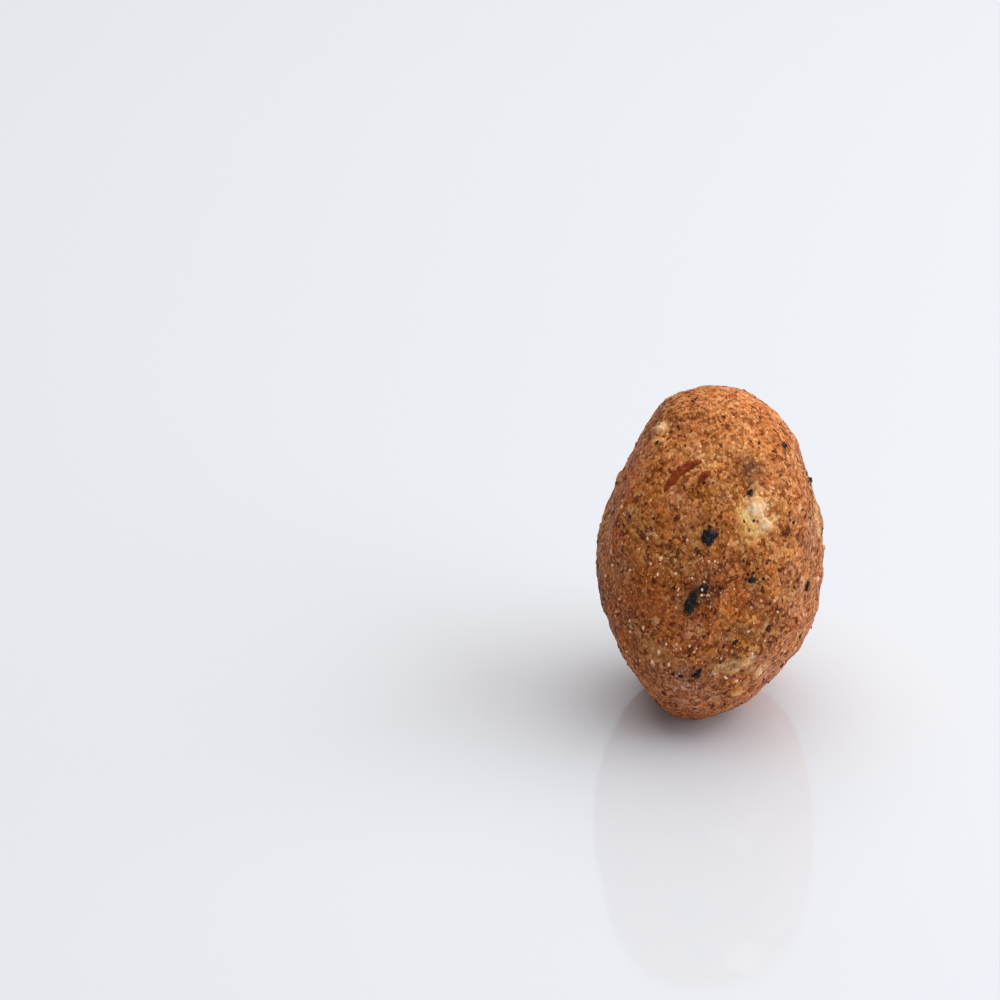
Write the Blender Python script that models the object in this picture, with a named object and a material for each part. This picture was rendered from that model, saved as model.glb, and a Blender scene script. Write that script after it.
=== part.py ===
# A wheat flour laddu: one ball of sweet roasted-flour dough, pressed in the palm into an upright egg.
# Nut pieces, slivers of almond skin, seed bits and coarse crumbs stand a little out of its surface.
# It is one solid. Metres, +Z up, with the origin on the floor under the middle of the ball's box.

import math
import random

import bmesh
import bpy
from mathutils import Vector, noise

MM = 0.001

# The pressed ball, in mm from its centre. SQUARENESS 2 would be an ellipsoid, and more is boxier.
HALF_WIDTH = 20.4
HALF_HEIGHT = 31.2
SQUARENESS = 2.35
BASE_DEPTH = 26.6
CENTRE = Vector((0.2, 0, BASE_DEPTH))

# The flats that palm and fingers left: the azimuth and elevation each one faces, and its depth in mm.
# A higher FLAT_SHARPNESS makes the edges between them crisper.
FLAT_SHARPNESS = 14
FLATS = (
    (18, 41, 26.7),
    (7, 19, 20.4),
    (-1, -3, 18.9),
    (-9, -24, 20.8),
    (-20, -43, 22.1),
    (-165, -35, 23.0),
    (-173, -19, 20.2),
    (180, 1, 20.6),
    (171, 22, 19.6),
    (-88, 10, 20.0),
    (-62, -30, 22.8),
    (-113, 35, 23.6),
    (-95, -52, 27.1),
    (-75, 42, 25.4),
    (84, -12, 20.0),
    (122, 24, 21.8),
    (75, -42, 24.2),
    (108, -52, 26.4),
    (85, 44, 26.2),
    (0, -90, 29.0),
)

# The crumbly surface: the spacing and the height of each size of lump, in mm.
LUMPS = (
    (9.0, 0.55),
    (4.6, 0.40),
    (2.8, 0.36),
)
GRID = 24

# What stands out of the surface on the side that is seen. Each row: the azimuth and elevation of its
# middle, its turn from level in degrees, then length, width and how far it stands out, in mm.
SKIN_SLIVERS = (
    (-118, 60, 56, 8.0, 1.4, 0.38),
    (-100, 60, 50, 2.8, 1.1, 0.32),
)
NUT_PIECES = (
    (-66, 47.5, -70, 3.4, 2.3, 0.40),
    (-63, 40.5, -60, 2.8, 1.4, 0.34),
    (-154, 70, 70, 1.6, 1.1, 0.40),
)
SEED_BITS = (
    (-94, 38, 75, 3.2, 2.4, 0.34),
    (-102, 7, 60, 3.4, 2.1, 0.38),
    (-96, 14, 20, 2.8, 1.3, 0.22),
    (-69, 53, 50, 1.3, 0.9, 0.32),
    (-72, 17, 30, 1.5, 1.2, 0.30),
    (-29, 62, 80, 1.4, 1.1, 0.32),
    (-40, 6, 85, 1.9, 0.9, 0.30),
    (-98, -30, 40, 1.6, 1.2, 0.32),
    (2, 42, 90, 1.1, 0.9, 0.48),
)
SEEN_CRUMBS = (
    (180, 16, 80, 4.0, 2.6, 0.38),
    (-76, -26, 25, 2.8, 1.9, 0.48),
    (-66, -35, 60, 2.4, 1.6, 0.42),
    (-78, -43, 20, 2.8, 1.8, 0.48),
)

# The sides and the back have like pieces, and coarse crumbs lie all over, both spread by a seeded rule:
# how many, then the shortest and longest in mm, the width as a share of the length, how far they
# stand out in mm, and whether they lie in front too.
SPREAD = {
    "skin": (4, 6.5, 9.5, 0.18, 0.35, False),
    "nut": (7, 2.2, 5.4, 0.55, 0.40, False),
    "seed": (9, 1.3, 3.2, 0.70, 0.30, False),
    "crumb": (30, 1.1, 2.0, 0.80, 0.36, True),
}
# The azimuth and elevation of the front's middle. The front reaches a little past its horizon, to the
# directions whose dot product with it is FRONT_EDGE.
FRONT = (-90, 28)
FRONT_EDGE = -0.30
CLEAR_OF_BASE = 2.2
PLACES_SEED = 11
SHAPES_SEED = 12

# A piece reaches into the dough by BURIED of its width, and its faces are uneven by UNEVEN. A sliver
# bends by BOW of its length. A lump longer than COARSE mm has more faces.
BURIED = 0.42
UNEVEN = 0.16
BOW = 0.09
COARSE = 2.0
SHARP_ANGLE = 50


def facing(azimuth, elevation):
    """The unit vector that points out of the ball at these two angles in degrees."""
    turn, rise = math.radians(azimuth), math.radians(elevation)
    return Vector((math.cos(rise) * math.cos(turn), math.cos(rise) * math.sin(turn), math.sin(rise)))


FLAT_FACINGS = [(facing(azimuth, elevation), depth) for azimuth, elevation, depth in FLATS]


def pressed_radius(out):
    """The smooth ball's radius in mm along a unit vector: a rounded barrel held in by its flats."""
    across = math.hypot(out.x, out.y) / HALF_WIDTH
    along = abs(out.z) / HALF_HEIGHT
    ball = (across**SQUARENESS + along**SQUARENESS) ** (1 / SQUARENESS)
    total = ball**FLAT_SHARPNESS
    for flat, depth in FLAT_FACINGS:
        total += (max(0.0, out.dot(flat)) / depth) ** FLAT_SHARPNESS
    return total ** (-1 / FLAT_SHARPNESS)


def surface(out):
    """The point of the lumpy surface, in mm from the ball's centre, cut off level at the base."""
    smooth = out * pressed_radius(out)
    lump = sum(height * noise.noise(smooth / spacing) for spacing, height in LUMPS)
    point = smooth + out * lump
    if point.z < -BASE_DEPTH:
        point *= -BASE_DEPTH / point.z
    return point


def material(name, colour, roughness):
    """A plain Principled finish."""
    made = bpy.data.materials.new(name)
    made.use_nodes = True
    shader = made.node_tree.nodes["Principled BSDF"]
    shader.inputs["Base Color"].default_value = (*colour, 1)
    shader.inputs["Roughness"].default_value = roughness
    shader.inputs["Metallic"].default_value = 0
    made.diffuse_color = (*colour, 1)
    return made


def finishes():
    """The materials by name, in the order of every mesh's slots."""
    return {
        "dough": material("roasted flour dough", (0.42, 0.21, 0.09), 0.75),
        "skin": material("almond skin", (0.25, 0.06, 0.03), 0.6),
        "nut": material("nut pieces", (0.80, 0.62, 0.34), 0.55),
        "seed": material("seed bits", (0.03, 0.03, 0.03), 0.6),
        "crumb": material("coarse crumbs", (0.55, 0.30, 0.13), 0.7),
    }


def new_object(name, mesh, slots, slot, collection):
    """An object of this mesh, with all its faces in one of the shared material slots."""
    for made in slots.values():
        mesh.materials.append(made)
    for face in mesh.polygons:
        face.material_index = list(slots).index(slot)
    piece = bpy.data.objects.new(name, mesh)
    collection.objects.link(piece)
    return piece


def ball_mesh():
    """The ball: a cube's grid pushed out to the surface, with the flat base as a single face."""
    bm = bmesh.new()
    bmesh.ops.create_cube(bm, size=2)
    bmesh.ops.subdivide_edges(bm, edges=bm.edges, cuts=GRID - 1, use_grid_fill=True)
    quarter = math.pi / 4
    for vert in bm.verts:
        even = Vector([math.tan(side * quarter) for side in vert.co])
        vert.co = surface(even.normalized())
    level = [face for face in bm.faces if all(vert.co.z < -BASE_DEPTH + 1e-4 for vert in face.verts)]
    bmesh.ops.dissolve_faces(bm, faces=level)
    for vert in bm.verts:
        vert.co = (vert.co + CENTRE) * MM
    bmesh.ops.triangulate(bm, faces=[face for face in bm.faces if len(face.verts) == 4])
    mesh = bpy.data.meshes.new("laddu")
    bm.to_mesh(mesh)
    bm.free()
    return mesh


def wrapped(bm, name, azimuth, elevation, turn):
    """Lays flat local points on the ball: x and y run along the surface, and z stands out of it."""
    middle = facing(azimuth, elevation)
    level = Vector((0, 0, 1)).cross(middle).normalized()
    upward = middle.cross(level)
    angle = math.radians(turn)
    ahead = level * math.cos(angle) + upward * math.sin(angle)
    aside = middle.cross(ahead)
    start = surface(middle)
    for vert in bm.verts:
        out = (start + ahead * vert.co.x + aside * vert.co.y).normalized()
        vert.co = (surface(out) + out * vert.co.z + CENTRE) * MM
    mesh = bpy.data.meshes.new(name)
    bm.to_mesh(mesh)
    bm.free()
    return mesh


def sliver_shape(length, width, stands_out):
    """A thin bowed spindle, pointed at both ends and deepest in its middle."""
    rings, sides = 7, 6
    bm = bmesh.new()
    tips = [bm.verts.new((end * length / 2, 0, 0)) for end in (-1, 1)]
    rows = []
    for i in range(1, rings + 1):
        along = 2 * i / (rings + 1) - 1
        swell = math.sqrt(1 - along**2)
        row = []
        for j in range(sides):
            turn = 2 * math.pi * j / sides
            tall = stands_out if math.sin(turn) > 0 else width * BURIED
            side = width / 2 * swell * math.cos(turn) + BOW * length * (swell**2 - 1)
            row.append(bm.verts.new((along * length / 2, side, tall * swell * math.sin(turn))))
        rows.append(row)
    for tip in tips:
        tip.co.y = -BOW * length
    for j in range(sides):
        k = (j + 1) % sides
        bm.faces.new((tips[0], rows[0][k], rows[0][j]))
        bm.faces.new((tips[1], rows[-1][j], rows[-1][k]))
        for near, far in zip(rows, rows[1:]):
            bm.faces.new((near[j], near[k], far[k], far[j]))
    bmesh.ops.recalc_face_normals(bm, faces=bm.faces)
    bmesh.ops.triangulate(bm, faces=bm.faces)
    return bm


def lump_shape(length, width, stands_out, draw):
    """A rough broken piece: a ball of few faces, uneven, flat and sunk to most of its depth."""
    bm = bmesh.new()
    bmesh.ops.create_icosphere(bm, subdivisions=2 if length > COARSE else 1, radius=1)
    for vert in bm.verts:
        uneven = 1 + draw.uniform(-UNEVEN, UNEVEN)
        tall = stands_out if vert.co.z > 0 else width * BURIED
        vert.co = Vector((vert.co.x * length / 2, vert.co.y * width / 2, vert.co.z * tall)) * uneven
    return bm


def free_spot(laid, reach, in_front, draw):
    """Draws a place on the ball, clear of what lies there and of the base."""
    while True:
        azimuth = draw.uniform(-180, 180)
        elevation = math.degrees(math.asin(draw.uniform(-1, 1)))
        if not in_front and facing(azimuth, elevation).dot(facing(*FRONT)) > FRONT_EDGE:
            continue
        spot = surface(facing(azimuth, elevation))
        clear = all((spot - other).length > reach + far for other, far in laid)
        if clear and spot.z > -BASE_DEPTH + CLEAR_OF_BASE + reach:
            return azimuth, elevation


def placed_pieces():
    """Each piece's finish, azimuth, elevation, turn, length, width and how far it stands out."""
    draw = random.Random(PLACES_SEED)
    placed = []
    laid = []
    seen = (("skin", SKIN_SLIVERS), ("nut", NUT_PIECES), ("seed", SEED_BITS), ("crumb", SEEN_CRUMBS))
    for finish, rows in seen:
        for azimuth, elevation, turn, length, width, stands_out in rows:
            placed.append((finish, azimuth, elevation, turn, length, width, stands_out))
            laid.append((surface(facing(azimuth, elevation)), length / 2))
    for finish, (count, shortest, longest, share, stands_out, in_front) in SPREAD.items():
        for i in range(count):
            length = longest + (shortest - longest) * i / (count - 1)
            azimuth, elevation = free_spot(laid, length / 2, in_front, draw)
            turn = draw.uniform(0, 180)
            placed.append((finish, azimuth, elevation, turn, length, length * share, stands_out))
            laid.append((surface(facing(azimuth, elevation)), length / 2))
    return placed


def fuse(ball, pieces):
    """Joins the pieces to the ball as one solid, and removes them."""
    union = ball.modifiers.new("fused pieces", "BOOLEAN")
    union.operation = "UNION"
    union.operand_type = "COLLECTION"
    union.collection = pieces
    union.solver = "EXACT"
    graph = bpy.context.evaluated_depsgraph_get()
    joined = bpy.data.meshes.new_from_object(ball.evaluated_get(graph))
    ball.modifiers.remove(union)
    ball.data = joined
    for piece in list(pieces.objects):
        bpy.data.objects.remove(piece)
    bpy.data.collections.remove(pieces)
    joined.name = "laddu"
    joined.shade_smooth()
    joined.set_sharp_from_angle(angle=math.radians(SHARP_ANGLE))


def build():
    for old in list(bpy.data.objects):
        bpy.data.objects.remove(old)
    slots = finishes()
    scene = bpy.context.scene.collection
    ball = new_object("laddu", ball_mesh(), slots, "dough", scene)
    pieces = bpy.data.collections.new("pieces")
    scene.children.link(pieces)
    draw = random.Random(SHAPES_SEED)
    for finish, azimuth, elevation, turn, length, width, stands_out in placed_pieces():
        if finish == "skin":
            shape = sliver_shape(length, width, stands_out)
        else:
            shape = lump_shape(length, width, stands_out, draw)
        mesh = wrapped(shape, finish, azimuth, elevation, turn)
        new_object(finish, mesh, slots, finish, pieces)
    fuse(ball, pieces)


build()
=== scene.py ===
# A wheat flour laddu: a hand-pressed ball of roasted-flour dough, with sugar grains, bran flecks,
# nut pieces, almond skin and seed bits in its crumbly surface.
import math
import random

import bmesh
import bpy
import numpy as np
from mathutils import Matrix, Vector, noise


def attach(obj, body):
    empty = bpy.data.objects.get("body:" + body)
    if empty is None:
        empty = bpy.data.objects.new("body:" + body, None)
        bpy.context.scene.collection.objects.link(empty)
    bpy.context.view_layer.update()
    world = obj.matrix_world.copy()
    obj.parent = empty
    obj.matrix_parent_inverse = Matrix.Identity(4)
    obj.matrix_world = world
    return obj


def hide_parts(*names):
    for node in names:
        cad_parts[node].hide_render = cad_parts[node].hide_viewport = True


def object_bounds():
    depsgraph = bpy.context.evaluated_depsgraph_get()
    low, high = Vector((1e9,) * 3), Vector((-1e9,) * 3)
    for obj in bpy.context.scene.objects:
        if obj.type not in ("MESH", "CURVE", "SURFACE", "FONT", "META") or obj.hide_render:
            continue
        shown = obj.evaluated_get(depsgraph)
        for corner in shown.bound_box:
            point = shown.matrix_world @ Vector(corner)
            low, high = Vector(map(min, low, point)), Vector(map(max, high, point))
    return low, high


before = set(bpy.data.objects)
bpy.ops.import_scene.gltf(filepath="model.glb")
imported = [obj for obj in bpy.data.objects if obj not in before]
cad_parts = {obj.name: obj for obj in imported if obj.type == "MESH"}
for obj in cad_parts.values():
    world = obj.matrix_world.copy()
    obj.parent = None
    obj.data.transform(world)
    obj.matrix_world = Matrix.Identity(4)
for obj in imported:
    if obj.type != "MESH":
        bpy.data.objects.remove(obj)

cadLow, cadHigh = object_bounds()
mm = 0.001

# The pressed ball, in mm from its centre: the same form as the CAD solid's.
ball = {
    "halfWidth": 20.4,
    "halfHeight": 31.2,
    "squareness": 2.35,
    "baseDepth": 26.6,
    "centre": (0.2, 0, 26.6),
    "flatSharpness": 14,
    # the azimuth and elevation that each flat faces, and its depth
    "flats": (
        (18, 41, 26.7), (7, 19, 20.4), (-1, -3, 18.9), (-9, -24, 20.8), (-20, -43, 22.1),
        (-165, -35, 23.0), (-173, -19, 20.2), (180, 1, 20.6), (171, 22, 19.6), (-88, 10, 20.0),
        (-62, -30, 22.8), (-113, 35, 23.6), (-95, -52, 27.1), (-75, 42, 25.4), (84, -12, 20.0),
        (122, 24, 21.8), (75, -42, 24.2), (108, -52, 26.4), (85, 44, 26.2), (0, -90, 29.0),
    ),
    # the spacing and height of each size of lump
    "lumps": ((9.0, 0.55), (4.6, 0.40), (2.8, 0.36)),
    # how many cells the grid of the cube has along each side
    "grid": 118,
}
centre = Vector(ball["centre"])


def facing(azimuth, elevation):
    turn, rise = math.radians(azimuth), math.radians(elevation)
    return Vector((math.cos(rise) * math.cos(turn), math.cos(rise) * math.sin(turn), math.sin(rise)))


flatFacings = np.array([facing(flat[0], flat[1]) for flat in ball["flats"]])
flatDepths = np.array([flat[2] for flat in ball["flats"]])


def ballSurface(outs):
    # points in mm from the ball's centre along unit vectors, on the lumpy surface
    outs = np.atleast_2d(np.array(outs, float))
    across = np.hypot(outs[:, 0], outs[:, 1]) / ball["halfWidth"]
    along = np.abs(outs[:, 2]) / ball["halfHeight"]
    power, sharp = ball["squareness"], ball["flatSharpness"]
    total = (across**power + along**power) ** (sharp / power)
    total += ((np.maximum(0, outs @ flatFacings.T) / flatDepths) ** sharp).sum(axis=1)
    smooth = outs * (total ** (-1 / sharp))[:, None]
    lump = np.zeros(len(outs))
    for spacing, height in ball["lumps"]:
        lump += [height * noise.noise(point) for point in smooth / spacing]
    points = smooth + outs * lump[:, None]
    below = points[:, 2] < -ball["baseDepth"]
    points[below] *= (-ball["baseDepth"] / points[below, 2])[:, None]
    return points


def surfaceAt(azimuth, elevation):
    return Vector(ballSurface(facing(azimuth, elevation))[0])


def addObject(name, data):
    made = bpy.data.objects.new(name, data)
    bpy.context.scene.collection.objects.link(made)
    return made


# Node trees: one helper adds a node with its settings and inputs, for shaders and geometry alike.
def addNode(tree, kind, inputs=None, **settings):
    made = tree.nodes.new(kind)
    for name, value in settings.items():
        setattr(made, name, value)
    for name, value in (inputs or {}).items():
        if isinstance(name, int):
            socket = made.inputs[name]
        else:
            socket = next(one for one in made.inputs if one.name == name and one.enabled)
        if isinstance(value, bpy.types.NodeSocket):
            tree.links.new(value, socket)
        else:
            socket.default_value = value
    return made


def firstOutput(made):
    return next(one for one in made.outputs if one.enabled)


def calculate(tree, operation, first, second):
    return addNode(tree, "ShaderNodeMath", {0: first, 1: second}, operation=operation).outputs[0]


def times(tree, first, second):
    return calculate(tree, "MULTIPLY", first, second)


def plus(tree, first, second):
    return calculate(tree, "ADD", first, second)


def calculateVector(tree, operation, first, second):
    return addNode(tree, "ShaderNodeVectorMath", {0: first, 1: second}, operation=operation).outputs[0]


def scaled(tree, vector, factor):
    return addNode(tree, "ShaderNodeVectorMath", {0: vector, "Scale": factor}, operation="SCALE").outputs[0]


def vectorOf(tree, x, y, z):
    return addNode(tree, "ShaderNodeCombineXYZ", {"X": x, "Y": y, "Z": z}).outputs[0]


def spread(tree, value, low, high, toLow=0.0, toHigh=1.0):
    # low to high becomes toLow to toHigh, and what lies past them stops there
    inputs = {"Value": value, "From Min": low, "From Max": high, "To Min": toLow, "To Max": toHigh}
    return addNode(tree, "ShaderNodeMapRange", inputs, clamp=True).outputs["Result"]


def sumOf(tree, base, parts):
    # base, plus each noise's distance from its middle times its weight
    total = base
    for value, weight in parts:
        total = plus(tree, times(tree, value, weight), total)
        total = calculate(tree, "SUBTRACT", total, weight / 2)
    return total


def newGeometryTree(name, inputs):
    # a tree with a geometry in and out, and named inputs for its sizes
    tree = bpy.data.node_groups.new(name, "GeometryNodeTree")
    tree.interface.new_socket("Geometry", in_out="INPUT", socket_type="NodeSocketGeometry")
    tree.interface.new_socket("Geometry", in_out="OUTPUT", socket_type="NodeSocketGeometry")
    kinds = {float: "NodeSocketFloat", int: "NodeSocketInt"}
    for label, value in inputs.items():
        socket = tree.interface.new_socket(label, in_out="INPUT", socket_type=kinds[type(value)])
        socket.default_value = value
    return tree, tree.nodes.new("NodeGroupInput"), tree.nodes.new("NodeGroupOutput")


def meshValue(tree, name):
    # a value that the mesh holds at each point
    made = addNode(tree, "GeometryNodeInputNamedAttribute", {"Name": name}, data_type="FLOAT")
    return made.outputs["Attribute"]


def endTree(tree, end, shape, material):
    coated = addNode(tree, "GeometryNodeSetMaterial", {"Geometry": shape, "Material": material})
    tree.links.new(coated.outputs[0], end.inputs["Geometry"])


def runTree(carrier, tree, values, name):
    # gives the carrier the tree with these values, and returns the result as a plain new piece
    modifier = carrier.modifiers.new(tree.name, "NODES")
    modifier.node_group = tree
    identifiers = {
        item.name: item.identifier
        for item in tree.interface.items_tree
        if item.item_type == "SOCKET" and item.in_out == "INPUT"
    }
    for label, value in values.items():
        modifier[identifiers[label]] = value
    graph = bpy.context.evaluated_depsgraph_get()
    graph.update()
    mesh = bpy.data.meshes.new_from_object(carrier.evaluated_get(graph))
    carrier.modifiers.remove(modifier)
    mesh.name = name
    piece = addObject(name, mesh)
    mesh.shade_smooth()
    triangles = sum(len(face.vertices) - 2 for face in mesh.polygons)
    print(name, len(mesh.vertices), "vertices", triangles, "triangles")
    return piece


def newMaterial(name):
    material = bpy.data.materials.new(name)
    material.use_nodes = True
    material.node_tree.nodes.clear()
    tree = material.node_tree
    shader = addNode(tree, "ShaderNodeBsdfPrincipled")
    end = addNode(tree, "ShaderNodeOutputMaterial")
    tree.links.new(shader.outputs["BSDF"], end.inputs["Surface"])
    return material, tree, shader


def setInputs(shader, values):
    for name, value in values.items():
        shader.inputs[name].default_value = value


def painted(tree, name):
    # a share that the mesh holds at each point, such as that of a patch's colour
    return addNode(tree, "ShaderNodeAttribute", attribute_name=name).outputs["Fac"]


def inMm(tree, upright=1.0):
    # object coordinates in mm. More than 1 draws a pattern out upright
    place = addNode(tree, "ShaderNodeTexCoord")
    scale = (1 / mm, 1 / mm, 1 / mm / upright)
    mapping = addNode(tree, "ShaderNodeMapping", {"Vector": place.outputs["Object"], "Scale": scale})
    return mapping.outputs["Vector"]


def noiseAt(tree, vector, size, detail, roughness=0.55, distortion=0.0):
    # from 0 to 1 over blotches of this size in mm
    inputs = {
        "Vector": vector,
        "Scale": 1 / size,
        "Detail": detail,
        "Roughness": roughness,
        "Distortion": distortion,
    }
    return addNode(tree, "ShaderNodeTexNoise", inputs).outputs["Fac"]


def ramp(tree, factor, stops):
    made = addNode(tree, "ShaderNodeValToRGB", {"Fac": factor})
    elements = made.color_ramp.elements
    while len(elements) < len(stops):
        elements.new(0.5)
    for element, (position, colour) in zip(elements, stops):
        element.position = position
        element.color = (*colour, 1)
    return made.outputs["Color"]


def mixColour(tree, factor, first, second, blend="MIX"):
    inputs = {"Factor": factor}
    for name, colour in (("A", first), ("B", second)):
        inputs[name] = colour if isinstance(colour, bpy.types.NodeSocket) else (*colour, 1)
    made = addNode(tree, "ShaderNodeMix", inputs, data_type="RGBA", blend_type=blend, clamp_factor=True)
    return firstOutput(made)


def bumpInMm(tree, shader, height):
    bump = addNode(tree, "ShaderNodeBump", {"Height": height, "Strength": 1.0, "Distance": mm})
    tree.links.new(bump.outputs["Normal"], shader.inputs["Normal"])


# The larger pieces lie where the CAD solid has them. Each row: azimuth and elevation of the middle,
# turn from level in degrees, then length, width and how far it stands out, in mm.
seenPieces = {
    "skin": (
        (-118, 60, 56, 8.0, 1.4, 0.38),
        (-100, 60, 50, 2.8, 1.1, 0.32),
    ),
    "nut": (
        (-66, 47.5, -70, 3.4, 2.3, 0.40),
        (-63, 40.5, -60, 2.8, 1.4, 0.34),
        (-154, 70, 70, 1.6, 1.1, 0.40),
    ),
    "seed": (
        (-94, 38, 75, 3.2, 2.4, 0.34),
        (-102, 7, 60, 3.4, 2.1, 0.38),
        (-96, 14, 20, 2.8, 1.3, 0.22),
        (-69, 53, 50, 1.3, 0.9, 0.32),
        (-72, 17, 30, 1.5, 1.2, 0.30),
        (-29, 62, 80, 1.4, 1.1, 0.32),
        (-40, 6, 85, 1.9, 0.9, 0.30),
        (-98, -30, 40, 1.6, 1.2, 0.32),
        (2, 42, 90, 1.1, 0.9, 0.48),
    ),
    "crumb": (
        (180, 16, 80, 4.0, 2.6, 0.38),
        (-76, -26, 25, 2.8, 1.9, 0.48),
        (-66, -35, 60, 2.4, 1.6, 0.42),
        (-78, -43, 20, 2.8, 1.8, 0.48),
    ),
}
# Grains that show singly and are too small for the CAD solid, in rows like those above.
seenGrains = {
    "sugar": (
        (-118, 25.7, 80, 0.84, 0.59, 0.34), (-123, 22.3, 70, 0.55, 0.42, 0.30),
        (-119, 18.3, 85, 0.63, 0.35, 0.30), (-106, 35.9, 60, 0.55, 0.42, 0.30),
        (-91, 27.3, 88, 0.63, 0.38, 0.32), (-94, 27.3, 95, 0.50, 0.42, 0.30),
        (-96, 17.4, 50, 0.55, 0.42, 0.34), (-102, 19.1, 80, 0.42, 0.38, 0.30),
        (-97, 13.5, 85, 0.63, 0.46, 0.40), (-97, 10.8, 70, 0.52, 0.42, 0.34),
        (-94, 10.8, 20, 0.71, 0.50, 0.34), (-108, 13.1, 78, 0.80, 0.34, 0.32),
        (-108, 10.6, 100, 0.50, 0.38, 0.30), (-110, 20.2, 30, 0.50, 0.38, 0.28),
        (-84, 34.8, 75, 0.46, 0.34, 0.28), (-93, 4.7, 90, 0.46, 0.29, 0.28),
        (-81, 13.5, 60, 0.42, 0.34, 0.28), (-117, -20.8, 85, 0.76, 0.46, 0.32),
        (-112, -26.0, 80, 0.86, 0.48, 0.30), (-121, -27.2, 95, 0.84, 0.50, 0.28),
        (-108, -14.6, 80, 0.59, 0.38, 0.30), (-106, -17.0, 85, 0.63, 0.38, 0.28),
        (-102, -15.9, 80, 0.67, 0.42, 0.30), (-100, -18.7, 20, 0.67, 0.42, 0.28),
        (-99, -24.7, 85, 0.50, 0.38, 0.28), (-96, -25.4, 80, 0.55, 0.34, 0.28),
        (-106, -37.0, 125, 0.76, 0.46, 0.28), (-138, -28.6, 85, 0.76, 0.42, 0.26),
        (-147, 13.4, 85, 0.67, 0.42, 0.30), (-134, 16.2, 90, 0.50, 0.38, 0.28),
        (-140, -1.1, 80, 0.50, 0.34, 0.28), (-154, 4.4, 85, 0.55, 0.38, 0.28),
        (-125, -10.7, 80, 0.76, 0.42, 0.32), (-133, -9.5, 70, 0.50, 0.35, 0.28),
        (-142, -8.6, 95, 0.46, 0.34, 0.28), (-109, 3.5, 85, 0.46, 0.34, 0.28),
        (-113, -15.5, 75, 0.52, 0.35, 0.30), (-134, -16.6, 85, 0.59, 0.35, 0.30),
        (-156, 70.1, 60, 0.80, 0.50, 0.34), (-78, -37.2, 15, 0.67, 0.38, 0.30),
        (-120, -28.0, 85, 0.50, 0.38, 0.28), (-129, -29.6, 70, 0.46, 0.34, 0.28),
        (-99, -16.9, 80, 0.46, 0.34, 0.28), (-59, 12.8, 85, 0.42, 0.38, 0.28),
        (-68, 6.1, 80, 0.55, 0.42, 0.30), (-62, 5.5, 45, 0.67, 0.55, 0.32),
        (-60, -0.7, 105, 0.63, 0.38, 0.30), (-43, -8.5, 85, 1.05, 0.50, 0.30),
        (-30, 4.8, 90, 0.92, 0.42, 0.28), (-72, -20.6, 60, 0.50, 0.42, 0.30),
        (-82, -18.9, 75, 0.59, 0.34, 0.28), (-87, -22.3, 80, 0.55, 0.38, 0.28),
        (-84, -33.6, 140, 0.63, 0.34, 0.28), (-66, -14.7, 80, 0.46, 0.34, 0.28),
        (-74, -9.4, 85, 0.46, 0.34, 0.28), (-80, 2.7, 85, 0.50, 0.34, 0.28),
        (-151, 41.7, 60, 0.63, 0.42, 0.28), (-148, 39.3, 100, 0.59, 0.50, 0.28),
        (-149, 19.3, 85, 1.01, 0.34, 0.26), (-130, 27.0, 80, 0.50, 0.34, 0.26),
        (-140, 26.3, 85, 0.71, 0.34, 0.26), (-127, 32.5, 95, 0.63, 0.34, 0.26),
    ),
    "bran": (
        (-113, 43.7, 70, 1.40, 0.75, 0.24), (-130, 32.8, 160, 1.60, 0.80, 0.20),
        (-118, 31.7, 95, 0.90, 0.50, 0.20), (-110, 30.2, 88, 1.70, 0.50, 0.20),
        (-99, 30.3, 100, 1.20, 0.75, 0.24), (-86, 29.0, 85, 0.80, 0.50, 0.22),
        (-69, 42.9, 85, 0.55, 0.45, 0.30), (-76, 27.2, 60, 0.75, 0.55, 0.22),
        (-90, 39.2, 80, 1.10, 0.70, 0.26), (-160, 82.8, 20, 0.90, 0.60, 0.24),
        (-64, -9.0, 75, 1.10, 0.60, 0.22), (-51, 9.6, 85, 0.90, 0.50, 0.22),
        (-80, -14.9, 60, 1.20, 0.60, 0.20), (-86, -23.6, 50, 1.50, 0.70, 0.20),
        (-125, -23.6, 85, 1.20, 0.60, 0.20), (-41, -22.0, 75, 0.80, 0.55, 0.22),
        (-48, -9.0, 85, 1.10, 0.45, 0.22), (-66, -11.9, 85, 0.90, 0.50, 0.22),
        (-53, -27.3, 60, 0.90, 0.35, 0.20), (-49, -28.8, 50, 0.80, 0.35, 0.20),
        (-140, 38.1, 60, 1.00, 0.60, 0.22), (-143, 15.8, 85, 0.80, 0.45, 0.20),
        (-90, 13.5, 150, 1.50, 0.70, 0.24), (-64, 4.0, 80, 0.50, 0.40, 0.22),
        (-102, -20.3, 85, 0.70, 0.45, 0.20), (-110, -30.0, 60, 0.90, 0.70, 0.20),
        (-106, -30.6, 30, 0.70, 0.60, 0.20), (-102, -33.1, 140, 0.80, 0.50, 0.20),
        (-117, -43.1, 150, 1.10, 0.60, 0.20),
    ),
}
# The rest: how many, shortest, longest, width as a share of the length, how far they stand out, and
# whether they lie in front too.
spreadPieces = {
    "skin": (4, 6.5, 9.5, 0.18, 0.35, False),
    "nut": (7, 2.2, 5.4, 0.55, 0.40, False),
    "seed": (9, 1.3, 3.2, 0.70, 0.30, False),
    "crumb": (30, 1.1, 2.0, 0.80, 0.36, True),
}
placing = {
    "front": (-90, 28),  # the azimuth and elevation of the side that is seen
    "edge": -0.30,  # it reaches to the directions whose dot product with its middle is this
    "seed": 11,
    "clearOfBase": 2.2,
}


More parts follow.
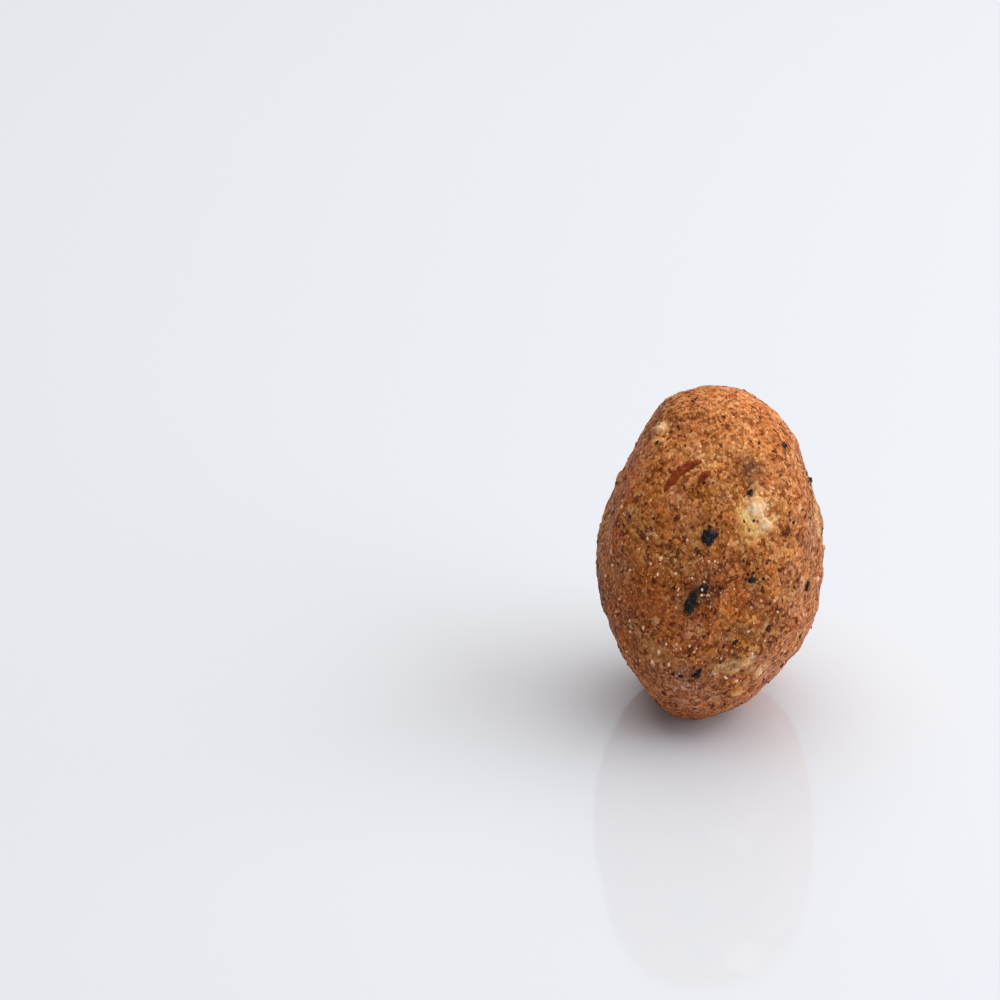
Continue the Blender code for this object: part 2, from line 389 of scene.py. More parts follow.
def freeSpot(laid, reach, inFront, draw):
    while True:
        azimuth = draw.uniform(-180, 180)
        elevation = math.degrees(math.asin(draw.uniform(-1, 1)))
        if not inFront and facing(azimuth, elevation).dot(facing(*placing["front"])) > placing["edge"]:
            continue
        spot = surfaceAt(azimuth, elevation)
        clear = all((spot - other).length > reach + far for other, far in laid)
        if clear and spot.z > -ball["baseDepth"] + placing["clearOfBase"] + reach:
            return azimuth, elevation


def placedPieces():
    draw = random.Random(placing["seed"])
    placed = {kind: list(rows) for kind, rows in seenPieces.items()}
    laid = [(surfaceAt(row[0], row[1]), row[3] / 2) for rows in placed.values() for row in rows]
    for kind, (count, shortest, longest, share, standsOut, inFront) in spreadPieces.items():
        for i in range(count):
            length = longest + (shortest - longest) * i / (count - 1)
            azimuth, elevation = freeSpot(laid, length / 2, inFront, draw)
            turn = draw.uniform(0, 180)
            placed[kind].append((azimuth, elevation, turn, length, length * share, standsOut))
            laid.append((surfaceAt(azimuth, elevation), length / 2))
    return placed


print("stage: places")
placed = placedPieces()

# Soft patches of colour in the dough. Of the rows listed for the seen side, the broad ones are mostly
# painted light and shade over the sides and rims; the small ones are the dough's own spots. Each row:
# azimuth, elevation, reach in mm and strength.
patches = {
    "seen": {
        # the first four gold rows, broad over the top and the right side, are painted light where the light
        # falls; the rest are gold spots in the dough
        "gold": (
            (-75, 68, 14, 0.28), (-42, 44, 13, 0.30), (-32, 12, 13, 0.26), (-45, -24, 9, 0.18),
            (-77, 77, 4.6, 0.55), (-143, 68, 2.6, 0.6), (-75, 45, 3.2, 1.0), (-71, 39, 3, 1.0),
            (-78, -43, 1.5, 0.9), (-70, -29, 1.3, 0.9), (-52, 44, 3.4, 0.7), (-52, 29, 3.6, 0.4),
            (-98, 50, 4, 0.6), (-88, 58, 4.5, 0.5), (-104, 40, 3, 0.4), (-134, 38, 3.4, 0.4),
            (-151, -2, 3, 0.5), (-71, -16, 3.4, 0.6), (-105, -25, 1.2, 0.9), (-72, -4, 2.6, 0.5),
            (-128, 52, 2.4, 0.5), (-86, 66, 3, 0.5), (-62, 62, 3, 0.6), (-88, -12, 2.2, 0.5),
            (-79, -14, 0.9, 0.9), (-86, -7, 0.8, 0.8),
        ),
        "pale": (
            (-73, 44.5, 2.2, 1.0), (-70, 40, 2.1, 1.0), (-67, 50, 1.7, 0.7), (-76, -26, 1.4, 0.7),
            (-66, -35, 1.6, 0.4), (-84, -24, 1.2, 0.7), (-80, -30, 1, 0.6), (-77, -44, 0.7, 0.9),
            (-88, -28, 1.2, 0.6), (-146, 66, 1.6, 0.4),
        ),
        "cream": (
            (-66, 47, 1.4, 1.0), (-64, 43, 0.8, 0.8), (-63, 40, 0.9, 1.0), (-74, -27, 0.7, 0.8),
            (-80, -25, 0.6, 0.9), (-71, -24, 0.5, 0.8), (-78, -30, 0.5, 0.8), (-85, -27, 0.5, 0.7),
            (-90, -31, 0.5, 0.6),
        ),
        # the broad dark rows, reaching 6 mm and more, along the right rim and on the left side, are painted
        # shade; the smaller ones are dark spots in the dough
        "dark": (
            (-81, -27, 1.1, 0.5), (-73, -31, 1, 0.5), (-70, -23, 1.1, 0.4), (-8, 10, 7, 0.40),
            (-16, 36, 8.5, 0.55), (-168, 30, 6, 0.20), (-6, -12, 7, 0.25), (-104, -30, 2.4, 0.45),
            (-65, 61, 2.3, 0.95), (-98, 12, 3.2, 1.0), (-102, 6, 2.6, 0.9), (-91, 14, 1.8, 0.8),
            (-96, 44, 1.6, 0.6), (-112, 30, 1.8, 0.6), (-65, -10, 1.8, 0.5), (-142, 4, 8, 0.15),
            (-82, -20, 1.6, 0.7), (-77, -9, 1.6, 0.6), (-83, -14, 1.4, 0.5), (-72, -11, 1.2, 0.5),
            (-88, -16, 1.3, 0.4), (-84, -26, 3, 0.6),
        ),
        # the broad mauve rows, reaching 5 mm and more and lying mostly along the rims, are partly a real
        # tint and partly painted shade at the rims; the small ones are mauve spots in the dough
        "mauve": (
            (-80, 76, 13, 0.35), (-48, 48, 12, 0.35), (-22, 34, 12, 0.45), (-25, 0, 11, 0.42),
            (-40, -28, 9, 0.40), (60, 70, 14, 0.45), (-165, 62, 8, 0.40), (-38, 27, 5, 0.7),
            (-12, 18, 6, 0.8), (-8, 0, 6, 0.8), (-15, 38, 6, 0.7), (-168, -34, 8, 0.7),
            (-47, 1, 5, 0.6), (-56, -38, 6, 0.7), (-102, -39, 7, 0.8), (-118, -34, 5, 0.6),
            (-104, -30, 2.8, 1.0), (-117, 54, 3, 0.6), (-105, 46, 3, 0.5), (-86, 52, 2.2, 0.6),
            (-52, 18, 3, 0.6), (-88, 24, 2.4, 0.5), (-64, -28, 3.4, 0.8), (-136, -12, 3.4, 0.5),
        ),
        # the broad red rows, reaching 5 mm and more over the left side, are painted shade there, darker and
        # redder; the small ones are red spots in the dough
        "red": (
            (-97, 22, 2.6, 0.7), (-78, 9, 3.4, 0.6), (-84, 42, 2.2, 0.6), (-90, 39, 0.8, 1.0),
            (-140, 6, 10, 0.85), (-112, 0, 9, 0.55), (-165, 4, 9, 0.75), (-115, 20, 5, 0.3),
            (-140, -20, 6, 0.35),
        ),
        "sandy": (
            (-178, 20, 3.4, 0.9), (-119, -21, 4, 0.5), (-128, 33, 3.2, 0.8), (-138, 39, 2.4, 0.7),
            (-109, 27, 3.4, 0.8), (-97, 34, 2.2, 0.6), (-51, 9, 2.6, 0.8), (-66, -11, 2.6, 0.8),
            (-145, 12, 4, 0.5), (-106, 8, 2, 0.6),
        ),
    },
    # the halo round each larger piece: its kind, colour and strength, and its reach in mm, of which
    # the last number is a share of the piece's length
    "halos": (
        ("skin", "red", 0.5, 0.20),
        ("nut", "gold", 0.9, 0.62),
        ("nut", "pale", 0.8, 0.42),
        ("nut", "cream", 0.6, 0.20),
        ("seed", "dark", 0.7, 0.55),
    ),
    "haloReach": 0.5,
    # the sides and the back have like patches, between these azimuths
    "more": {"gold": 22, "red": 16, "mauve": 22, "dark": 14, "pale": 4, "sandy": 20, "cream": 0},
    "azimuths": (-20, 200),
    "reach": (1.8, 6.0),
    "strength": (0.3, 0.8),
    # and small weak ones lie all over
    "small": {"gold": 60, "red": 60, "mauve": 70, "dark": 24, "pale": 6, "sandy": 70, "cream": 4},
    "smallReach": (0.7, 2.4),
    "smallStrength": (0.15, 0.55),
    "seed": 5,
    "wobble": 0.55,
    "wobbleSize": 1.7,
}


def patchRows():
    rows = [(*row[:3], colour, row[3]) for colour, seen in patches["seen"].items() for row in seen]
    for kind, colour, strength, share in patches["halos"]:
        for azimuth, elevation, _, length, _, _ in placed[kind]:
            rows.append((azimuth, elevation, patches["haloReach"] + length * share, colour, strength))
    draw = random.Random(patches["seed"])
    for colour, count in patches["more"].items():
        for _ in range(count):
            azimuth = draw.uniform(*patches["azimuths"])
            elevation = math.degrees(math.asin(draw.uniform(-1, 1)))
            reach = draw.uniform(*patches["reach"])
            rows.append((azimuth, elevation, reach, colour, draw.uniform(*patches["strength"])))
    for colour, count in patches["small"].items():
        for _ in range(count):
            elevation = math.degrees(math.asin(draw.uniform(-1, 1)))
            reach = draw.uniform(*patches["smallReach"])
            strength = draw.uniform(*patches["smallStrength"])
            rows.append((draw.uniform(-180, 180), elevation, reach, colour, strength))
    return rows


def patchShares(points):
    # how much of each patch colour every point takes, with wavering edges
    wobble = np.array([noise.noise(point) for point in points / patches["wobbleSize"]])
    shares = {colour: np.zeros(len(points)) for colour in patches["more"]}
    for azimuth, elevation, reach, colour, strength in patchRows():
        away = np.linalg.norm(points - np.array(surfaceAt(azimuth, elevation)), axis=1)
        away *= 1 + patches["wobble"] * wobble
        shares[colour] = np.maximum(shares[colour], strength * np.exp(-((away / reach) ** 2)))
    return shares


# Roasted flour dough.
dough = {
    "plain": (0.580, 0.158, 0.029),
    # the colours of its patches
    "gold": (0.790, 0.285, 0.046),
    "red": (0.520, 0.110, 0.018),
    "mauve": (0.530, 0.185, 0.088),
    "dark": (0.120, 0.038, 0.017),
    "pale": (0.960, 0.490, 0.160),
    "cream": (0.960, 0.640, 0.350),
    "sandy": (0.520, 0.200, 0.060),
    "palest": (0.93, 0.72, 0.50),  # no place is lighter
    # from the darkest, which includes painted shade at the grains' edges, to the brightest grains, as
    # shares of the colour at that place
    "tones": (
        (0.08, (0.10, 0.06, 0.05)),
        (0.30, (0.58, 0.47, 0.36)),
        (0.50, (0.98, 0.97, 0.95)),
        (0.70, (1.22, 1.50, 1.85)),
        (0.95, (1.55, 2.70, 5.00)),
    ),
    "brightestTone": 5.0,
    # where on these the ball and the fine crumbs lie before the noises move them; the ball's surface lies
    # darker than the crumbs, partly as painted shade between them
    "tone": 0.50,
    "crumbTone": 0.58,
    # the noises: size in mm, detail, roughness, distortion and weight
    "toneNoises": ((3.6, 5.0, 0.65, 0.4, 0.75), (0.8, 3.0, 0.7, 0.0, 0.48)),
    "grainSize": 0.50,
    "grainWeight": 0.54,
    # the weight of the painted shade at each grain's edge, where its dome falls away
    "grainEdgeShadeWeight": -0.22,
    # pale places are nearer to one tone, and lose their specks between these two shares of paleness
    "calm": 0.6,
    "calmTone": 1.1,
    "specksEnd": (0.2, 0.6),
    "upright": 1.25,
    "roughness": 0.50,
    "gloss": 0.04,
    "dust": 0.08,
    "dustColour": (1.0, 0.80, 0.74),
    "dustRoughness": 0.55,
    # the bump: the height in mm of each grain, then size, detail, roughness and height of two noises
    "grainHeight": 0.08,
    "bumps": ((0.30, 3.0, 0.6, 0.16), (1.5, 2.0, 0.5, 0.40)),
}

# Dark specks in the dough.
specks = {
    # each kind: the size of its cells in mm, the share of them that hold one, and its strength
    "kinds": ((1.05, 0.18, 0.80), (0.62, 0.24, 0.55)),
    "colour": (0.110, 0.020, 0.010),
    "widest": 0.46,  # in cells
    "fullSize": 0.6,  # the share of them that has its full size
    "bend": 0.8,  # how far in mm their outlines wander
    "bendsPerMm": 2.2,
    "bendDetail": 2.0,
    # they crowd in places of this size in mm, where their width is this many times as much: two
    # values of the noise, then the width at each
    "crowdSize": 4.5,
    "crowdDetail": 2.0,
    "crowd": (0.38, 0.62, 0.15, 1.2),
    "softEdge": 0.17,
    "darkest": 0.95,
}


def specksAt(tree, place, size, share):
    # spots of uneven size and outline in this share of cells of this size
    bends = {"Vector": place, "Scale": specks["bendsPerMm"], "Detail": specks["bendDetail"]}
    bent = addNode(tree, "ShaderNodeTexNoise", bends).outputs["Color"]
    moved = calculateVector(tree, "ADD", place, scaled(tree, bent, specks["bend"]))
    cells = addNode(tree, "ShaderNodeTexVoronoi", {"Vector": moved, "Scale": 1 / size})
    draws = addNode(tree, "ShaderNodeSeparateColor", {"Color": cells.outputs["Color"]})
    chosen = spread(tree, draws.outputs["Green"], 1 - share, 1 - share * specks["fullSize"])
    crowd = noiseAt(tree, place, specks["crowdSize"], specks["crowdDetail"])
    width = times(tree, chosen, spread(tree, crowd, *specks["crowd"]))
    edge = times(tree, width, specks["widest"])
    inside = calculate(tree, "SUBTRACT", edge, cells.outputs["Distance"])
    return spread(tree, inside, 0.0, specks["softEdge"], 0.0, specks["darkest"])


def grainCells(tree, place):
    return addNode(tree, "ShaderNodeTexVoronoi", {"Vector": place, "Scale": 1 / dough["grainSize"]})


def doughColour(tree, place, cells, tinted, middle):
    # each grain is lighter or darker about this middle tone, in blotches, patches and specks, with painted
    # shade at its edge;
    # the broad listed patches over the sides and rims are mostly painted light and shade
    if tinted:
        grain = painted(tree, "tint")
    else:
        grain = addNode(tree, "ShaderNodeSeparateColor", {"Color": cells.outputs["Color"]}).outputs["Red"]
    parts = [(noiseAt(tree, place, *shape), weight) for *shape, weight in dough["toneNoises"]]
    parts += [(grain, dough["grainWeight"]), (cells.outputs["Distance"], dough["grainEdgeShadeWeight"])]
    brightest = dough["brightestTone"]
    stops = [(position, [share / brightest for share in shares]) for position, shares in dough["tones"]]
    tone = ramp(tree, sumOf(tree, middle, parts), stops)
    calm = calculate(tree, "MAXIMUM", painted(tree, "pale"), painted(tree, "cream"))
    even = [dough["calmTone"] / brightest] * 3
    tone = mixColour(tree, times(tree, calm, dough["calm"]), tone, even)
    colour = dough["plain"]
    for patch in patches["more"]:
        colour = mixColour(tree, painted(tree, patch), colour, dough[patch])
    colour = scaled(tree, mixColour(tree, 1.0, colour, tone, "MULTIPLY"), brightest)
    left = spread(tree, calm, *dough["specksEnd"], 1.0, 0.0)
    for size, share, strength in specks["kinds"]:
        spots = times(tree, specksAt(tree, place, size, share), strength)
        colour = mixColour(tree, times(tree, spots, left), colour, specks["colour"])
    return calculateVector(tree, "MINIMUM", colour, dough["palest"])


def doughMaterial(name, isCrumb):
    material, tree, shader = newMaterial(name)
    place = inMm(tree, dough["upright"])
    cells = grainCells(tree, place)
    middle = dough["crumbTone"] if isCrumb else dough["tone"]
    tree.links.new(doughColour(tree, place, cells, isCrumb, middle), shader.inputs["Base Color"])
    setInputs(shader, {
        "Roughness": dough["roughness"],
        "Specular IOR Level": dough["gloss"],
        "Sheen Weight": dough["dust"],
        "Sheen Roughness": dough["dustRoughness"],
        "Sheen Tint": (*dough["dustColour"], 1),
    })
    height = times(tree, cells.outputs["Distance"], -dough["grainHeight"])
    for size, detail, roughness, rise in dough["bumps"]:
        rough = times(tree, noiseAt(tree, place, size, detail, roughness), rise)
        height = plus(tree, height, rough)
    bumpInMm(tree, shader, height)
    return material


# The other finishes. Each wanders between a dark and a light colour over blotches of its size in mm,
# and a tinted one also from grain to grain. The bump's height is a share of that size.
finishes = {
    "semolina": {
        "name": "semolinaGrain",
        "dark": (0.55, 0.21, 0.055), "light": (0.97, 0.60, 0.27),
        "size": 0.9, "bump": 0.25, "tinted": True,
        "shader": {"Roughness": 0.4, "Specular IOR Level": 0.25},
    },
    "bran": {
        "name": "branFleck",
        "dark": (0.050, 0.012, 0.007), "light": (0.27, 0.055, 0.020),
        "size": 0.6, "bump": 0.25, "tinted": True,
        "shader": {"Roughness": 0.5, "Specular IOR Level": 0.15},
    },
    "sugar": {
        "name": "sugarGrain",
        "dark": (0.70, 0.28, 0.11), "light": (0.96, 0.68, 0.50),
        "size": 0.35, "bump": 0.25, "tinted": True,
        # a faint glow stands for the light that a clear grain gathers
        "shader": {
            "Roughness": 0.15,
            "Specular IOR Level": 0.5,
            "IOR": 1.6,
            "Emission Color": (1.0, 0.66, 0.44, 1),
            "Emission Strength": 0.12,
        },
    },
    "skin": {
        "name": "almondSkin",
        "dark": (0.12, 0.010, 0.004), "light": (0.42, 0.075, 0.016),
        "size": 0.7, "bump": 0.25, "tinted": False,
        "shader": {"Roughness": 0.45, "Specular IOR Level": 0.08},
    },
    "nut": {
        "name": "nutFlesh",
        "dark": (0.78, 0.37, 0.14), "light": (0.93, 0.68, 0.43),
        "size": 1.3, "bump": 0.05, "tinted": False,
        # it is lighter where the cream patches are, and a film of dough lies over its rim
        "creamWeight": 0.75, "noiseWeight": 0.5,
        "filmTone": 0.56, "filmEnds": (0.20, 0.80),
        "shader": {
            "Roughness": 0.6,
            "Specular IOR Level": 0.05,
            # the faint glow is painted light, as if light came through the nut
            "Emission Color": (1.0, 0.74, 0.46, 1),
            "Emission Strength": 0.12,
            "Subsurface Weight": 0.25,
            "Subsurface Radius": (0.0012, 0.0008, 0.0004),
            "Subsurface Scale": 1.0,
        },
    },
}
# detail, roughness and distortion of their blotches, between which values the noise goes from dark
# to light, then detail and roughness of the bump, and how many times finer it is
blotches = {"noise": (3.0, 0.6, 0.3), "ends": (0.3, 0.7), "bump": (3.0, 0.6), "finer": 3}
# size in mm, detail and roughness of the film's torn edge, and how torn it is
tornFilm = {"noise": (0.7, 4.0, 0.7), "weight": 1.3}
seedLook = {
    "dark": (0.004, 0.0045, 0.005),
    "light": (0.060, 0.062, 0.058),
    # the grey ridges, a painted highlight where the surface rises: size in mm, detail, roughness and
    # distortion of their noise, between which of its values they go from dark to light, and their height in
    # mm
    "ridges": (0.7, 3.0, 0.6, 0.8),
    "ridgeHighlightEnds": (0.50, 0.74),
    "ridgeHeight": 0.55,
    "filmTone": 0.50,
    "filmEnds": (0.30, 0.85),
    "shader": {"Roughness": 0.42, "Specular IOR Level": 0.22},
}


def underFilm(tree, place, colour, look):
    # a torn film of dough over the rim of a piece
    noises = ((noiseAt(tree, place, *tornFilm["noise"]), tornFilm["weight"]),)
    torn = sumOf(tree, painted(tree, "film"), noises)
    around = doughColour(tree, place, grainCells(tree, place), False, look["filmTone"])
    return mixColour(tree, spread(tree, torn, *look["filmEnds"]), colour, around)


def blotchedMaterial(look):
    material, tree, shader = newMaterial(look["name"])
    place = inMm(tree)
    factor = noiseAt(tree, place, look["size"], *blotches["noise"])
    if "creamWeight" in look:
        cream = times(tree, painted(tree, "cream"), look["creamWeight"])
        factor = sumOf(tree, cream, ((factor, look["noiseWeight"]),))
    if look["tinted"]:
        factor = times(tree, plus(tree, factor, painted(tree, "tint")), 0.5)
    colour = mixColour(tree, spread(tree, factor, *blotches["ends"]), look["dark"], look["light"])
    if "filmTone" in look:
        colour = underFilm(tree, place, colour, look)
    tree.links.new(colour, shader.inputs["Base Color"])
    setInputs(shader, look["shader"])
    height = noiseAt(tree, place, look["size"] / blotches["finer"], *blotches["bump"])
    bumpInMm(tree, shader, times(tree, height, look["size"] * look["bump"]))
    return material


def seedMaterial():
    # nearly black, with lighter grey on its ridges as a painted highlight
    material, tree, shader = newMaterial("darkSeed")
    place = inMm(tree)
    ridges = noiseAt(tree, place, *seedLook["ridges"])
    ends = spread(tree, ridges, *seedLook["ridgeHighlightEnds"])
    colour = mixColour(tree, ends, seedLook["dark"], seedLook["light"])
    colour = underFilm(tree, place, colour, seedLook)
    tree.links.new(colour, shader.inputs["Base Color"])
    setInputs(shader, seedLook["shader"])
    bumpInMm(tree, shader, times(tree, ridges, seedLook["ridgeHeight"]))
    return material


print("stage: materials")
materials = {
    "dough": doughMaterial("roastedDough", False),
    "crumbs": doughMaterial("doughCrumb", True),
    "seed": seedMaterial(),
}
for kind, look in finishes.items():
    materials[kind] = blotchedMaterial(look)

# The dough: a cube's grid pushed out to the surface, then roughened by a node tree. Sizes in mm. The
# pits lie where their noise, from -0.5 to 0.5, is above the edge, and are deepest above the floor.
relief = {
    "Coarse size": 1.4,
    "Coarse height": 0.13,
    "Fine size": 0.62,
    "Fine height": 0.12,
    "Pit size": 1.7,
    "Pit edge": 0.14,
    "Pit floor": 0.24,
    "Pit depth": 0.13,
}
# how far above the base it starts and how far it takes to grow, in mm, and from which share of its
# height on grains may lie
reliefRise = {"start": 0.05, "length": 1.1, "grains": 0.98}


def addAttribute(mesh, name, values):
    made = mesh.attributes.new(name, "FLOAT", "POINT")
    made.data.foreach_set("value", np.asarray(values, np.float32))


def ballMesh():
    bm = bmesh.new()
    bmesh.ops.create_cube(bm, size=2)
    bmesh.ops.subdivide_edges(bm, edges=bm.edges, cuts=ball["grid"] - 1, use_grid_fill=True)
    mesh = bpy.data.meshes.new("doughBody")
    bm.to_mesh(mesh)
    bm.free()
    corners = np.empty(len(mesh.vertices) * 3, np.float32)
    mesh.vertices.foreach_get("co", corners)
    even = np.tan(corners.reshape(-1, 3) * math.pi / 4)
    points = ballSurface(even / np.linalg.norm(even, axis=1)[:, None])
    mesh.vertices.foreach_set("co", ((points + np.array(centre)) * mm).astype(np.float32).ravel())
    aboveBase = points[:, 2] + ball["baseDepth"]
    room = np.clip((aboveBase - reliefRise["start"]) / reliefRise["length"], 0, 1)
    addAttribute(mesh, "room", room)
    addAttribute(mesh, "cover", room > reliefRise["grains"])
    for colour, share in patchShares(points).items():
        addAttribute(mesh, colour, share)
    mesh.update()
    return mesh


def geometryNoise(tree, size, offset):
    # from -0.5 to 0.5 over blotches of this size in mm, at a place of its own in the noise
    place = scaled(tree, addNode(tree, "GeometryNodeInputPosition").outputs[0], 1 / mm)
    moved = calculateVector(tree, "ADD", place, (offset, offset, offset))
    frequency = calculate(tree, "DIVIDE", 1.0, size)
    made = addNode(tree, "ShaderNodeTexNoise", {"Vector": moved, "Scale": frequency, "Detail": 1.0})
    return calculate(tree, "SUBTRACT", made.outputs["Fac"], 0.5)


def reliefTree():
    # two sizes of crumbly relief along the normal, less small pits
    tree, given, end = newGeometryTree("crumblyRelief", relief)
    total = 0.0
    for label, offset in (("Coarse", 0.0), ("Fine", 31.0)):
        bumps = geometryNoise(tree, given.outputs[label + " size"], offset)
        raised = times(tree, bumps, given.outputs[label + " height"])
        total = plus(tree, times(tree, raised, 2.0), total)
    hollow = geometryNoise(tree, given.outputs["Pit size"], 57.0)
    ends = (given.outputs["Pit edge"], given.outputs["Pit floor"])
    pit = spread(tree, hollow, *ends, 0.0, given.outputs["Pit depth"])
    total = calculate(tree, "SUBTRACT", total, pit)
    total = times(tree, total, meshValue(tree, "room"))
    normal = addNode(tree, "GeometryNodeInputNormal").outputs[0]
    offset = scaled(tree, normal, times(tree, total, mm))
    shape = {"Geometry": given.outputs["Geometry"], "Offset": offset}
    moved = addNode(tree, "GeometryNodeSetPosition", shape)
    endTree(tree, end, moved.outputs[0], materials["dough"])
    return tree


print("stage: dough")
form = addObject("ballForm", ballMesh())
doughBody = runTree(form, reliefTree(), relief, "doughBody")
bpy.data.objects.remove(form)
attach(doughBody, "root")
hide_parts("laddu")


def wrapOnBall(bm, azimuth, elevation, turn):
    # x and y of the flat local points run along the surface, and z stands out of it
    middle = facing(azimuth, elevation)
    level = Vector((0, 0, 1)).cross(middle).normalized()
    upward = middle.cross(level)
    angle = math.radians(turn)
    ahead = level * math.cos(angle) + upward * math.sin(angle)
    aside = middle.cross(ahead)
    start = surfaceAt(azimuth, elevation)
    rays = [(start + ahead * vert.co.x + aside * vert.co.y).normalized() for vert in bm.verts]
    for vert, ray, point in zip(bm.verts, rays, ballSurface(rays)):
        vert.co = (Vector(point) + ray * vert.co.z + centre) * mm


# The pieces' own shapes. Each is ragged by so many mm over stretches of its ragged size, and a film
# of dough on it ends at this height above the dough. Its cover is how densely grains lie on it, and
# its outline wavers at each of these finenesses by a share of its size.
pieceShapes = {
    "skin": {"name": "almondSkins", "cover": 0.06, "ragged": 0.07, "raggedSize": 0.9, "film": 0.01},
    "nut": {
        "name": "nutPieces", "cover": 0.08, "ragged": 0.04, "raggedSize": 1.2, "film": 0.46,
        "detail": 5, "outline": ((0.9, 0.50), (2.2, 0.25)),
    },
    "seed": {
        "name": "seedBits", "cover": 0.60, "ragged": 0.20, "raggedSize": 0.7, "film": 0.24,
        "detail": 5, "outline": ((0.9, 0.50), (2.2, 0.35), (5.0, 0.30)),
    },
    "crumb": {
        "name": "coarseCrumbs", "cover": 0.95, "ragged": 0.15, "raggedSize": 0.8, "film": 9.0,
        "detail": 4, "outline": ((0.9, 0.55), (2.2, 0.25)),
    },
    "bran": {
        "name": "darkFlecks", "cover": 0.40, "ragged": 0.12, "raggedSize": 0.5, "film": 9.0,
        "detail": 3, "outline": ((0.9, 0.55), (2.2, 0.35), (5.0, 0.25)),
    },
    "sugar": {
        "name": "sugarCrystals", "cover": 0.0, "ragged": 0.14, "raggedSize": 0.3, "film": 9.0,
        "detail": 2, "outline": ((0.9, 0.55), (2.2, 0.25)),
    },
}
# how deep a piece reaches into the dough as a share of its width, how far a piece's number moves its
# noise, and how much of the cover is left above the film
shaping = {"buried": 0.42, "noiseStep": 7.3, "bareCover": 0.25}
# bow is a share of the length, and torn is how much the width wavers, so often per mm
sliverForm = {"rings": 56, "sides": 12, "bow": 0.09, "torn": 0.5, "tearsPerMm": 0.8}
# a lump up to this length in mm has fewer faces, and its top wavers by a share of its height
lumpForm = {"small": 1.4, "smallDetail": 3, "waver": 0.60, "fineness": 1.6}


def sliverShape(shape, length, width, standsOut, offset):
    # a bowed spindle with ragged edges
    bow = sliverForm["bow"] * length
    bm = bmesh.new()
    rows = []
    for i in range(1, sliverForm["rings"] + 1):
        along = 2 * i / (sliverForm["rings"] + 1) - 1
        swell = math.sqrt(1 - along**2)
        tear = noise.noise(Vector((along * length * sliverForm["tearsPerMm"], offset, 0)))
        torn = 1 + sliverForm["torn"] * tear
        row = []
        for j in range(sliverForm["sides"]):
            turn = 2 * math.pi * j / sliverForm["sides"]
            tall = standsOut if math.sin(turn) > 0 else width * shaping["buried"]
            side = width / 2 * swell * torn * math.cos(turn) + bow * (swell**2 - 1)
            place = Vector((along * length / 2, side, offset)) / shape["raggedSize"]
            lift = tall * swell * math.sin(turn) + shape["ragged"] * noise.noise(place)
            row.append(bm.verts.new((along * length / 2, side, lift)))
        rows.append(row)
    tips = [bm.verts.new((end * length / 2, -bow, 0)) for end in (-1, 1)]
    for j in range(sliverForm["sides"]):
        k = (j + 1) % sliverForm["sides"]
        bm.faces.new((tips[0], rows[0][k], rows[0][j]))
        bm.faces.new((tips[1], rows[-1][j], rows[-1][k]))
        for near, far in zip(rows, rows[1:]):
            bm.faces.new((near[j], near[k], far[k], far[j]))
    bmesh.ops.recalc_face_normals(bm, faces=bm.faces)
    return bm


def lumpShape(shape, length, width, standsOut, offset):
    # a broken piece with an uneven outline and a rough top
    detail = shape["detail"]
    if length <= lumpForm["small"]:
        detail = min(lumpForm["smallDetail"], detail)
    bm = bmesh.new()
    bmesh.ops.create_icosphere(bm, subdivisions=detail, radius=1)
    for vert in bm.verts:
        x, y, z = vert.co
        way = Vector((x, y, 0)).normalized()
        outline = 1.0
        for finer, share in shape["outline"]:
            outline += share * noise.noise(way * finer + Vector((offset, finer, 0)))
        top = Vector((x * lumpForm["fineness"], y * lumpForm["fineness"], offset))
        rise = 1 + lumpForm["waver"] * noise.noise(top)
        tall = standsOut if z > 0 else width * shaping["buried"]
        vert.co = Vector((x * outline * length / 2, y * outline * width / 2, z * rise * tall))
        flat = Vector((vert.co.x + offset, vert.co.y, 0)) / shape["raggedSize"]
        vert.co.z += shape["ragged"] * noise.noise(flat)
    return bm


def joinedShapes(kind, rows):
    # one mesh of all pieces of a kind, with a tint of its own for each
    shape = pieceShapes[kind]
    maker = sliverShape if kind == "skin" else lumpShape
    joined = bmesh.new()
    draw = random.Random(placing["seed"])
    tints = []
    for i, (azimuth, elevation, turn, length, width, standsOut) in enumerate(rows):
        bm = maker(shape, length, width, standsOut, shaping["noiseStep"] * i)
        wrapOnBall(bm, azimuth, elevation, turn)
        tints += [draw.random()] * len(bm.verts)
        one = bpy.data.meshes.new("one")
        bm.to_mesh(one)
        bm.free()
        joined.from_mesh(one)
        bpy.data.meshes.remove(one)
    mesh = bpy.data.meshes.new(shape["name"])
    joined.to_mesh(mesh)
    joined.free()
    addAttribute(mesh, "tint", tints)
    return mesh


def makePieces(kind, rows):
    shape = pieceShapes[kind]
    mesh = joinedShapes(kind, rows)
    points = np.empty(len(mesh.vertices) * 3, np.float32)
    mesh.vertices.foreach_get("co", points)
    points = points.reshape(-1, 3) / mm - np.array(centre)
    distance = np.linalg.norm(points, axis=1)
    height = distance - np.linalg.norm(ballSurface(points / distance[:, None]), axis=1)
    film = 1 - np.clip(height / shape["film"], 0, 1)
    bare = shaping["bareCover"]
    addAttribute(mesh, "film", film)
    addAttribute(mesh, "cover", shape["cover"] * (bare + (1 - bare) * film))
    for colour, share in patchShares(points).items():
        addAttribute(mesh, colour, share)
    if kind == "sugar":
        mesh.shade_flat()
    else:
        mesh.shade_smooth()
    mesh.materials.append(materials["crumbs" if kind == "crumb" else kind])
    piece = addObject(shape["name"], mesh)
    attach(piece, "root")
    print(shape["name"], len(mesh.polygons), "faces")
    return piece


print("stage: larger pieces")
larger = [makePieces(kind, rows) for kind, rows in placed.items()]
darkFlecks = makePieces("bran", seenGrains["bran"])
makePieces("sugar", seenGrains["sugar"])


def joinedCopy(objects, name):
    # one plain object of all these meshes, with their attributes
    copies = [addObject(name, one.data.copy()) for one in objects]
    first = copies[0]
    with bpy.context.temp_override(active_object=first, object=first, selected_editable_objects=copies):
        bpy.ops.object.join()
    return first


